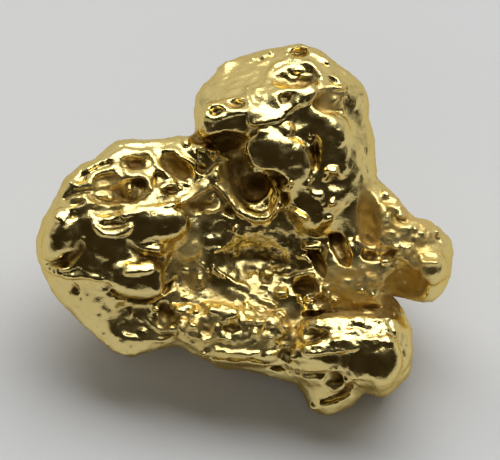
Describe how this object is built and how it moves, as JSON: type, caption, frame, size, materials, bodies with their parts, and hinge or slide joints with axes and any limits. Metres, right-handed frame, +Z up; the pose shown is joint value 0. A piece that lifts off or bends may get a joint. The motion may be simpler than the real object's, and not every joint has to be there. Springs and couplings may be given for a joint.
{
  "type": "gold nugget",
  "caption": "Natural gold nugget: rounded lobes grown together, with knobs, lipped pits, ledges and creases all over, resting on a small flat.",
  "frame": {"origin": "on the table, under the middle of the nugget's bounding box", "axes": "+X to the nugget's right, seen from its broad face; +Z up; -Y towards the side that the broad face leans over. The broad face looks up and towards -Y, 50 degrees above the table."},
  "size_m": [0.0104, 0.0084, 0.0071],
  "materials": {
    "native_gold": "worn almost to a polish, soft bright highlights, brown-gold in the pits"
  },
  "bodies": {
    "root": {"nugget": "native_gold"}
  },
  "joints": []
}
